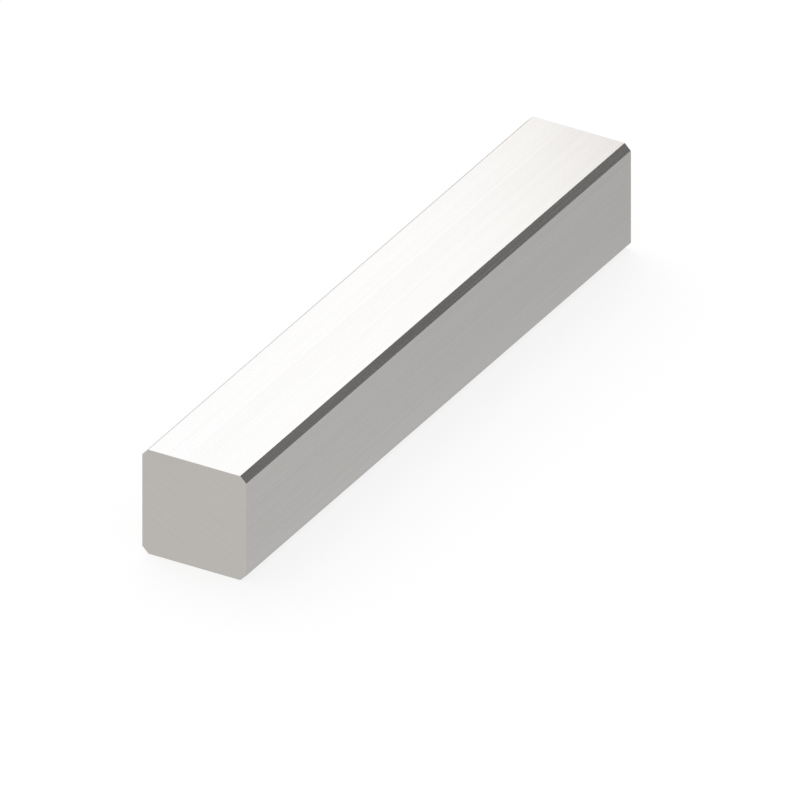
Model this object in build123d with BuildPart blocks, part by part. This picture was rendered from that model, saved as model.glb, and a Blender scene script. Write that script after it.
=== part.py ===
from build123d import *

import os

# Square-ended parallel key, 5 x 5 x 32 mm.
#
# A straight bar of bright-drawn key steel, cut square to length. It sits partly
# in the keyway of a shaft and partly in the keyway of a hub, and carries the
# torque from one to the other across its two side faces. It is one solid piece
# with no moving parts.
#
# Frame, in millimetres: the key lies on its bottom face, with its length along
# X, its width along Y and its height along Z. The origin is the centre of the
# bottom face.

# Section of the drawn bar
key_width = 5.0  # across the side faces, which press on the keyway walls
key_height = 5.0  # from the floor of the shaft keyway to the top face
long_edge_chamfer = 0.30  # 45 degrees, clears the fillets in the keyway corners

# Cut to length
key_length = 32.0  # from end face to end face, both square to the bar

with BuildPart() as parallel_key:
    # The bar section stands at one end of the key, upright on the bottom face.
    with BuildSketch(Plane.YZ.offset(-key_length / 2)) as bar_section:
        with Locations((0, key_height / 2)):
            Rectangle(key_width, key_height)
        chamfer(bar_section.vertices(), length=long_edge_chamfer)
    extrude(amount=key_length)

parallel_key.part.label = "parallel_key"

os.makedirs("parts", exist_ok=True)
export_step(parallel_key.part, "parts/parallel_key.step")
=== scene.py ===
import math

import bpy
import numpy as np
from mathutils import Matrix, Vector


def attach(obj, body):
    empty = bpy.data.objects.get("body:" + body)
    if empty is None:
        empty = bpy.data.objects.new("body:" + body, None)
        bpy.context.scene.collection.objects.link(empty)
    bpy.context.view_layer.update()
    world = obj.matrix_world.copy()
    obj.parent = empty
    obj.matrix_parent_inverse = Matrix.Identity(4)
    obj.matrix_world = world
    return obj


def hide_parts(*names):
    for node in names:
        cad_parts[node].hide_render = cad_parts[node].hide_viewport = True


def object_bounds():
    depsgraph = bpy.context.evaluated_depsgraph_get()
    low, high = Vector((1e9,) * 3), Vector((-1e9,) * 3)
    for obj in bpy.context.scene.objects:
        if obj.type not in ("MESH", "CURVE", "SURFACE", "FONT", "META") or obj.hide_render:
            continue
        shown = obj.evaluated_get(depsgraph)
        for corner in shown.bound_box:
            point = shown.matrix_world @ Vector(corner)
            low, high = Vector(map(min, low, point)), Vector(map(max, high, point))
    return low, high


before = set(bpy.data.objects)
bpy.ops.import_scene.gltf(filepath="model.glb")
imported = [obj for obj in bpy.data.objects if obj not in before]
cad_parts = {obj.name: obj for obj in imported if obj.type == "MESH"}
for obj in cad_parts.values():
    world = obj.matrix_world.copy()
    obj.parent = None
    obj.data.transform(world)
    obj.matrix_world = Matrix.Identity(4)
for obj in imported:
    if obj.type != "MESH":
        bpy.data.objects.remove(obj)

cadLow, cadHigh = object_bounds()
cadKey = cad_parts["parallel_key"]
keyMiddle = (cadLow + cadHigh) / 2
scene = bpy.context.scene
scene.view_settings.view_transform = "Standard"
print("frame loaded, key size in mm:", [round(1000 * s, 3) for s in cadHigh - cadLow])


# lengths are in metres and angles in degrees, here and below
cameraView = {
    "azimuth": -60.0,  # 0 looks along +Y, and it grows towards +X
    "elevation": 30.0,
    "frameWidth": 0.033256,  # what the parallel view takes in
    "aimRight": 0.000556,  # from the middle of the key to the middle of the view
    "aimUp": -0.002149,
    "distance": 0.2,
    "clipping": (0.001, 5.0),
}


def directionTo(azimuth, elevation):
    # unit vector from the key to a place round it: (sin az cos el, -cos az cos el, sin el)
    a, e = math.radians(azimuth), math.radians(elevation)
    return Vector((math.sin(a) * math.cos(e), -math.cos(a) * math.cos(e), math.sin(e)))


def makeCamera():
    # a parallel view: place = middle of the key + aside + back * distance
    data = bpy.data.cameras.new("keyCamera")
    data.type = "ORTHO"
    data.ortho_scale = cameraView["frameWidth"]
    data.clip_start, data.clip_end = cameraView["clipping"]
    camera = bpy.data.objects.new("keyCamera", data)
    scene.collection.objects.link(camera)
    back = directionTo(cameraView["azimuth"], cameraView["elevation"])
    turn = (-back).to_track_quat("-Z", "Y")
    aside = turn @ Vector((cameraView["aimRight"], cameraView["aimUp"], 0))
    camera.rotation_mode = "QUATERNION"
    camera.rotation_quaternion = turn
    camera.location = keyMiddle + aside + back * cameraView["distance"]
    scene.camera = camera


makeCamera()
print("camera placed")


def startTree(owner):
    # the node tree of a material or world, emptied
    owner.use_nodes = True
    owner.node_tree.nodes.clear()
    return owner.node_tree


def addNode(tree, kind, inputs=None, **settings):
    # an input that is another node's socket is linked, and any other is the socket's own value
    node = tree.nodes.new("ShaderNode" + kind)
    for name, value in settings.items():
        setattr(node, name, value)
    for name, value in (inputs or {}).items():
        named = [s for s in node.inputs if s.name == name and s.enabled]
        socket = named[0] if named else node.inputs[name]
        if isinstance(value, bpy.types.NodeSocket):
            tree.links.new(value, socket)
        else:
            socket.default_value = value
    return node


def calculate(tree, operation, *values):
    # one step of arithmetic on values or sockets
    return addNode(tree, "Math", dict(enumerate(values)), operation=operation).outputs[0]


def mapRange(tree, value, fromMin, fromMax, toMin, toMax, kind="LINEAR"):
    # moves the value from one range to another and holds it at the ends
    ranges = {"Value": value, "From Min": fromMin, "From Max": fromMax, "To Min": toMin, "To Max": toMax}
    return addNode(tree, "MapRange", ranges, interpolation_type=kind).outputs["Result"]


studio = {
    "white": 1.0,  # what the camera and shiny surfaces see round the key
    "ambient": 0.75,  # what comes from all round to everything else
    "lampShare": 0.25,  # what the lamp adds on the floor, which makes up the plain level of 1
    "lampAzimuth": 143.0,
    "lampElevation": 50.0,
    "lampWidth": 55.0,  # as an angle, so that the shadow is soft
    "floorGlow": 0.79,
    "floorShade": 0.22,  # the part of the floor's white that is lit, and carries the key's shadow
    "floorHalf": 2.0,
    "floorDrop": 0.000004,  # the floor lies this far under the key
    "sheenCentre": (-0.0198, 0.0022, 0.0),  # middle of the painted pool of light on the floor, its brightest place as the steel mirrors it
    "sheenReach": 0.030,
    "sheenLevels": (0.70, 0.94),  # far from that place and at it
}


def makeWorld():
    # white for what is seen or mirrored, and the ambient level for what lights a surface
    world = bpy.data.worlds.new("studioWhite")
    tree = startTree(world)
    path = addNode(tree, "LightPath").outputs
    shiny = calculate(tree, "MAXIMUM", path["Is Glossy Ray"], path["Is Transmission Ray"])
    seen = calculate(tree, "MAXIMUM", path["Is Camera Ray"], shiny)
    level = mapRange(tree, seen, 0.0, 1.0, studio["ambient"], studio["white"])
    background = addNode(tree, "Background", {"Color": (1, 1, 1, 1), "Strength": level})
    addNode(tree, "OutputWorld", {"Surface": background.outputs[0]})
    world.cycles.sampling_method = "NONE"  # each ray then meets the level meant for it
    scene.world = world


def makeLamp():
    # lamp share = energy * sin(elevation) / pi, which gives the energy
    light = bpy.data.lights.new("softLamp", "SUN")
    light.angle = math.radians(studio["lampWidth"])
    light.energy = studio["lampShare"] * math.pi / math.sin(math.radians(studio["lampElevation"]))
    lamp = bpy.data.objects.new("softLamp", light)
    scene.collection.objects.link(lamp)
    lamp.rotation_mode = "QUATERNION"
    away = -directionTo(studio["lampAzimuth"], studio["lampElevation"])
    lamp.rotation_quaternion = away.to_track_quat("-Z", "Y")
    lamp.visible_glossy = False


def makeFloor():
    # seen from above: glow + shade * light, which is white where no shadow falls
    material = bpy.data.materials.new("floorWhite")
    tree = startTree(material)
    shade = studio["floorShade"]
    lit = addNode(tree, "BsdfDiffuse", {"Color": (shade, shade, shade, 1)})
    white = addNode(tree, "Emission", {"Color": (1, 1, 1, 1), "Strength": studio["floorGlow"]})
    direct = addNode(tree, "AddShader", {0: lit.outputs[0], 1: white.outputs[0]})

    # a painted pool of light on the floor, seen only by shiny rays: the sheen falls off as 1 / sqrt(1 +
    # (distance / reach) squared)
    place = addNode(tree, "TexCoord").outputs["Object"]
    ends = {0: place, 1: studio["sheenCentre"]}
    away = addNode(tree, "VectorMath", ends, operation="DISTANCE").outputs["Value"]
    share = calculate(tree, "DIVIDE", away, studio["sheenReach"])
    fall = calculate(tree, "INVERSE_SQRT", calculate(tree, "MULTIPLY_ADD", share, share, 1.0))
    sheen = mapRange(tree, fall, 0.0, 1.0, *studio["sheenLevels"])
    mirrored = addNode(tree, "Emission", {"Color": (1, 1, 1, 1), "Strength": sheen})
    path = addNode(tree, "LightPath").outputs
    shiny = calculate(tree, "MAXIMUM", path["Is Glossy Ray"], path["Is Transmission Ray"])
    both = addNode(tree, "MixShader", {0: shiny, 1: direct.outputs[0], 2: mirrored.outputs[0]})
    addNode(tree, "OutputMaterial", {"Surface": both.outputs[0]})
    material.cycles.emission_sampling = "NONE"

    half, z = studio["floorHalf"], cadLow.z - studio["floorDrop"]
    corners = [(-half, -half, z), (half, -half, z), (half, half, z), (-half, half, z)]
    mesh = bpy.data.meshes.new("floor")
    mesh.from_pydata(corners, [], [(0, 1, 2, 3)])
    mesh.materials.append(material)
    floor = bpy.data.objects.new("floor", mesh)
    scene.collection.objects.link(floor)


makeWorld()
makeLamp()
makeFloor()
print("floor, lamp and surroundings made")


# Panels stand round the key and face it, and only the steel mirrors them. Level 1 is as bright as
# the white floor, and soft is the share of each side that fades out to the white round the panel.
# Where a panel has a farColour, its light turns to that between the two places in turnsAt,
# which count across it from 0 at its left side to 1 at its right.
panels = {
    "topSoftbox": {
        "azimuth": 143.0, "elevation": 44.5, "distance": 0.062, "width": 0.086, "height": 0.084,
        "level": 2.20, "soft": 0.16, "colour": (1.0, 1.019, 1.046),
        "farColour": (1.0, 0.992, 0.980), "turnsAt": (0.74, 0.92),
    },
    "edgeCard": {
        "azimuth": 60.0, "elevation": 36.0, "distance": 0.40, "width": 0.36, "height": 0.28,
        "level": 0.19, "soft": 0.05, "colour": (1.0, 1.0, 1.0),
    },
    "frontSoftbox": {
        "azimuth": -55.0, "elevation": 60.0, "distance": 0.10, "width": 0.12, "height": 0.13,
        "level": 1.6, "soft": 0.35, "colour": (1.0, 1.0, 1.0),
    },
    "rearSoftbox": {
        "azimuth": 228.0, "elevation": 36.0, "distance": 0.10, "width": 0.11, "height": 0.10,
        "level": 1.6, "soft": 0.45, "colour": (1.0, 1.0, 1.0),
    },
}


def makePanel(name):
    # corners = middle +- width / 2 to the side +- height / 2 upwards
    panel = panels[name]
    back = directionTo(panel["azimuth"], panel["elevation"])
    turn = (-back).to_track_quat("Z", "Y")
    middle = keyMiddle + back * panel["distance"]
    signs = np.array([(-1, -1), (1, -1), (1, 1), (-1, 1)])
    across = signs * (panel["width"] / 2, panel["height"] / 2)
    sideAndUp = np.array(turn.to_matrix())[:, :2]
    corners = np.array(middle) + across @ sideAndUp.T

    # the light falls to white over the soft share of each side
    material = bpy.data.materials.new(name)
    tree = startTree(material)
    sides = addNode(tree, "SeparateXYZ", {0: addNode(tree, "TexCoord").outputs["UV"]}).outputs
    inside = 1.0
    for side in (sides["X"], sides["Y"]):
        border = calculate(tree, "MINIMUM", side, calculate(tree, "SUBTRACT", 1.0, side))
        fade = mapRange(tree, border, 0.0, panel["soft"], 0.0, 1.0, "SMOOTHSTEP")
        inside = calculate(tree, "MULTIPLY", inside, fade)
    strength = mapRange(tree, inside, 0.0, 1.0, studio["white"], panel["level"])
    colour = (*panel["colour"], 1)
    if "farColour" in panel:
        turned = mapRange(tree, sides["X"], *panel["turnsAt"], 0.0, 1.0, "SMOOTHSTEP")
        both = {"Factor": turned, "A": colour, "B": (*panel["farColour"], 1)}
        colour = addNode(tree, "Mix", both, data_type="RGBA").outputs["Result"]
    light = addNode(tree, "Emission", {"Color": colour, "Strength": strength})
    addNode(tree, "OutputMaterial", {"Surface": light.outputs[0]})
    material.cycles.emission_sampling = "NONE"

    mesh = bpy.data.meshes.new(name)
    mesh.from_pydata(corners.tolist(), [], [(0, 1, 2, 3)])
    layer = mesh.uv_layers.new(name="panelSides")
    layer.data.foreach_set("uv", ((signs + 1) / 2).astype(np.float32).ravel())
    mesh.materials.append(material)
    sheet = bpy.data.objects.new(name, mesh)
    scene.collection.objects.link(sheet)
    sheet.visible_camera = False
    sheet.visible_diffuse = False
    sheet.visible_shadow = False


for panelName in panels:
    makePanel(panelName)
print("panels placed:", ", ".join(panels))


# Drawn long faces and sawn ends of one steel. A depth is a share of its brightness, and a seed
# moves its pattern to another place of the noise.
steelFinish = {
    "drawnColour": (0.446, 0.434, 0.421),
    # the ends are lighter than the long faces: partly the sawn finish, partly painted light on the end
    # faces
    "sawnColourWithPaintedLight": (0.516, 0.494, 0.470),
    "drawnRoughness": 0.27,
    "sawnRoughness": 0.34,
    "roughnessSwing": 0.03,
    "lines": {"length": 0.010, "width": 0.00006, "detail": 3.0, "seed": 3.1},
    "lineDepth": 0.022,
    "dieMarks": {"length": 0.120, "width": 0.00030, "detail": 2.0, "seed": 8.7},
    "dieMarkDepth": 0.020,
    "clouds": {"length": 0.0105, "width": 0.0035, "detail": 2.0, "seed": 5.3},
    "cloudDepth": 0.008,
    "sawCentre": (0.0, 0.026, -0.052),  # of the blade, so that its marks are wide arcs
    "sawPitch": 0.00011,
    "sawReach": 0.0035,  # how far a saw mark runs before it changes
    "sawDetail": 2.0,
    "sawDepth": 0.020,
    # edges lighter in colour: partly polished steel, partly a painted highlight
    "edgePolishAndHighlight": 0.05,
    "bumpHeight": 0.0000005,
    "grainRoughness": 0.6,
    "noiseRange": (0.3, 0.7),  # what the noise mostly stays between
}


def evenNoise(tree, settings):
    # noise between the two ends of noiseRange, spread to run from -1 to 1
    grain = addNode(tree, "TexNoise", {"Scale": 1.0, **settings}).outputs["Fac"]
    return mapRange(tree, grain, *steelFinish["noiseRange"], -1.0, 1.0)


def stretchedNoise(tree, place, pattern):
    # noise of (x / length, y / width, z / width) + seed: grains drawn out along the key
    seed, width = pattern["seed"], pattern["width"]
    scale = (1 / pattern["length"], 1 / width, 1 / width)
    inputs = {"Vector": place, "Location": (seed, seed, seed), "Scale": scale}
    stretched = addNode(tree, "Mapping", inputs).outputs["Vector"]
    grain = {"Vector": stretched, "Detail": pattern["detail"], "Roughness": steelFinish["grainRoughness"]}
    return evenNoise(tree, grain)


def arcNoise(tree, place):
    # saw marks: noise of (distance from the blade's middle / pitch, y / reach)
    finish = steelFinish
    onFace = {0: place, 1: (0, 1, 1)}
    facePlace = addNode(tree, "VectorMath", onFace, operation="MULTIPLY").outputs[0]
    ends = {0: facePlace, 1: finish["sawCentre"]}
    away = addNode(tree, "VectorMath", ends, operation="DISTANCE").outputs["Value"]
    across = addNode(tree, "SeparateXYZ", {0: place}).outputs["Y"]
    rings = addNode(tree, "CombineXYZ", {
        "X": calculate(tree, "DIVIDE", away, finish["sawPitch"]),
        "Y": calculate(tree, "DIVIDE", across, finish["sawReach"]),
    }).outputs[0]
    return evenNoise(tree, {"Vector": rings, "Detail": finish["sawDetail"]})


def blend(tree, share, first, second):
    # first + share * (second - first)
    return addNode(tree, "Mix", {"Factor": share, "A": first, "B": second}).outputs[0]


def makeSteel():
    # colour = plain colour * (1 + marks + clouds + edge polish and painted highlight), and the bump
    # follows the marks
    finish = steelFinish
    material = bpy.data.materials.new("brightDrawnSteel")
    tree = startTree(material)
    place = addNode(tree, "TexCoord").outputs["Object"]
    sawn = addNode(tree, "Attribute", attribute_name="endFace").outputs["Fac"]
    edge = addNode(tree, "Attribute", attribute_name="edgeTurn").outputs["Fac"]

    lines = stretchedNoise(tree, place, finish["lines"])
    dieMarks = stretchedNoise(tree, place, finish["dieMarks"])
    clouds = stretchedNoise(tree, place, finish["clouds"])
    fineLines = calculate(tree, "MULTIPLY", lines, finish["lineDepth"])
    drawnHeight = calculate(tree, "MULTIPLY_ADD", dieMarks, finish["dieMarkDepth"], fineLines)
    sawnHeight = calculate(tree, "MULTIPLY", arcNoise(tree, place), finish["sawDepth"])
    height = blend(tree, sawn, drawnHeight, sawnHeight)

    tone = calculate(tree, "MULTIPLY_ADD", clouds, finish["cloudDepth"], height)
    # lighter along the edges: partly polished steel, partly a painted highlight
    tone = calculate(tree, "MULTIPLY_ADD", edge, finish["edgePolishAndHighlight"], tone)
    tone = calculate(tree, "ADD", tone, 1.0)
    # the end faces take the lighter colour, which is partly painted light
    ends = {"Factor": sawn, "A": (*finish["drawnColour"], 1), "B": (*finish["sawnColourWithPaintedLight"], 1)}
    plain = addNode(tree, "Mix", ends, data_type="RGBA").outputs["Result"]
    colour = addNode(tree, "VectorMath", {0: plain, "Scale": tone}, operation="SCALE").outputs[0]

    mean = blend(tree, sawn, finish["drawnRoughness"], finish["sawnRoughness"])
    unevenness = calculate(tree, "ADD", lines, clouds)
    roughness = calculate(tree, "MULTIPLY_ADD", unevenness, finish["roughnessSwing"] / 2, mean)

    ridge = calculate(tree, "DIVIDE", height, finish["lineDepth"])
    ridges = {"Height": ridge, "Strength": 1.0, "Distance": finish["bumpHeight"]}
    normal = addNode(tree, "Bump", ridges).outputs["Normal"]
    inputs = {"Base Color": colour, "Metallic": 1.0, "Roughness": roughness, "Normal": normal}
    steel = addNode(tree, "BsdfPrincipled", inputs)
    addNode(tree, "OutputMaterial", {"Surface": steel.outputs[0]})
    return material


# the steps are how many faces a flat, a rounded edge and the length are divided into
keyBar = {
    "longEdgeRadius": 0.00004,  # what the drawing die leaves on the long edges
    "endEdgeRadius": 0.00002,  # what the saw leaves round the ends
    "flatSteps": 4,
    "arcSteps": 4,
    "lengthSteps": 24,
}
sectionFlats = 8  # four faces and four chamfers


def readChamfer():
    # chamfer = half width of the bar - half width of its flat top
    places = np.zeros(len(cadKey.data.vertices) * 3)
    cadKey.data.vertices.foreach_get("co", places)
    places = places.reshape(-1, 3)
    onTop = places[:, 2] > cadHigh.z - keyBar["endEdgeRadius"]
    return cadHigh.y - places[onTop, 1].max()


def sectionLoop(halfWidth, halfHeight, chamfer, radius):
    # Eight flats, 45 degrees apart, each moved in by the radius. Corner k is where flats k and
    # k + 1 cross: normal . point = reach for both. The loop's point is
    # corner + t (next corner - corner) on a flat, and on an arc it stays at the corner while
    # its normal turns from one flat's to the next. The bulge is the sine of the way round an arc.
    flatTurn = 2 * np.pi / sectionFlats
    turns = np.arange(sectionFlats) * flatTurn
    normals = np.stack([np.cos(turns), np.sin(turns)], axis=1)
    diagonal = (halfWidth + halfHeight - chamfer) / np.sqrt(2)
    reach = np.array([halfWidth, diagonal, halfHeight, diagonal] * 2) - radius
    crossings = np.stack([normals, np.roll(normals, -1, axis=0)], axis=1)
    reaches = np.stack([reach, np.roll(reach, -1)], axis=1)
    corners = np.linalg.solve(crossings, reaches[:, :, None])[:, :, 0]
    starts = np.roll(corners, 1, axis=0)

    t = np.arange(keyBar["flatSteps"]) / keyBar["flatSteps"]
    s = np.arange(keyBar["arcSteps"]) / keyBar["arcSteps"]
    flats = starts[:, None, :] + t[None, :, None] * (corners - starts)[:, None, :]
    arcs = np.repeat(corners[:, None, :], len(s), axis=1)
    core = np.concatenate([flats, arcs], axis=1).reshape(-1, 2)
    angles = turns[:, None] + np.concatenate([0 * t, s * flatTurn])[None, :]
    bulge = np.tile(np.concatenate([0 * t, np.sin(np.pi * s)]), sectionFlats)
    outward = np.stack([np.cos(angles), np.sin(angles)], axis=2).reshape(-1, 2)
    return core, outward, bulge


def makeKeyBar():
    # The section carried along the bar, with r the radius of the end edges and R of the long ones:
    # x = core length + r sin f and (y, z) = core + (R - r + r cos f) normal, where f turns from
    # -90 degrees at one end face to 0 along the bar and 90 at the other end face.
    longRadius, endRadius = keyBar["longEdgeRadius"], keyBar["endEdgeRadius"]
    size = np.array(cadHigh - cadLow)
    core, outward, bulge = sectionLoop(size[1] / 2, size[2] / 2, readChamfer(), longRadius)

    arc = np.linspace(-np.pi / 2, 0, keyBar["arcSteps"] + 1)
    straight = np.linspace(-1, 1, keyBar["lengthSteps"] + 1)[1:-1]
    turn = np.concatenate([arc, 0 * straight, -arc[::-1]])
    place = np.concatenate([0 * arc - 1, straight, 0 * arc + 1])
    x = (size[0] / 2 - endRadius) * place + endRadius * np.sin(turn)
    offset = longRadius - endRadius + endRadius * np.cos(turn)
    rows, columns = len(x), len(core)
    along = np.repeat(x[:, None, None], columns, axis=1)
    section = core[None] + offset[:, None, None] * outward[None]
    points = np.concatenate([along, section], axis=2).reshape(-1, 3) + np.array(keyMiddle)
    lean = np.repeat(np.sin(turn)[:, None, None], columns, axis=1)
    facing = np.concatenate([lean, np.cos(turn)[:, None, None] * outward[None]], axis=2).reshape(-1, 3)

    around = np.arange(columns)
    after = (around + 1) % columns
    row = np.arange(rows - 1)[:, None] * columns
    quads = np.stack([row + around, row + after, row + columns + after, row + columns + around], axis=2)
    ends = [around[::-1].tolist(), (around + (rows - 1) * columns).tolist()]

    mesh = bpy.data.meshes.new("keyBar")
    mesh.from_pydata(points.tolist(), [], quads.reshape(-1, 4).tolist() + ends)
    mesh.shade_smooth()
    mesh.normals_split_custom_set_from_vertices(facing.tolist())
    endEdge = np.abs(np.sin(2 * turn))[:, None]
    masks = {
        "endFace": np.repeat(np.sin(turn) ** 2, columns),
        "edgeTurn": np.maximum(np.cos(turn)[:, None] * bulge[None], endEdge).ravel(),
    }
    for name, values in masks.items():
        layer = mesh.attributes.new(name, "FLOAT", "POINT")
        layer.data.foreach_set("value", values.astype(np.float32))
    mesh.materials.append(makeSteel())

    piece = bpy.data.objects.new("keyBar", mesh)
    scene.collection.objects.link(piece)
    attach(piece, "root")
    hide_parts("parallel_key")
    print("key made with", len(points), "points and a chamfer in mm of", round(1000 * readChamfer(), 3))


makeKeyBar()
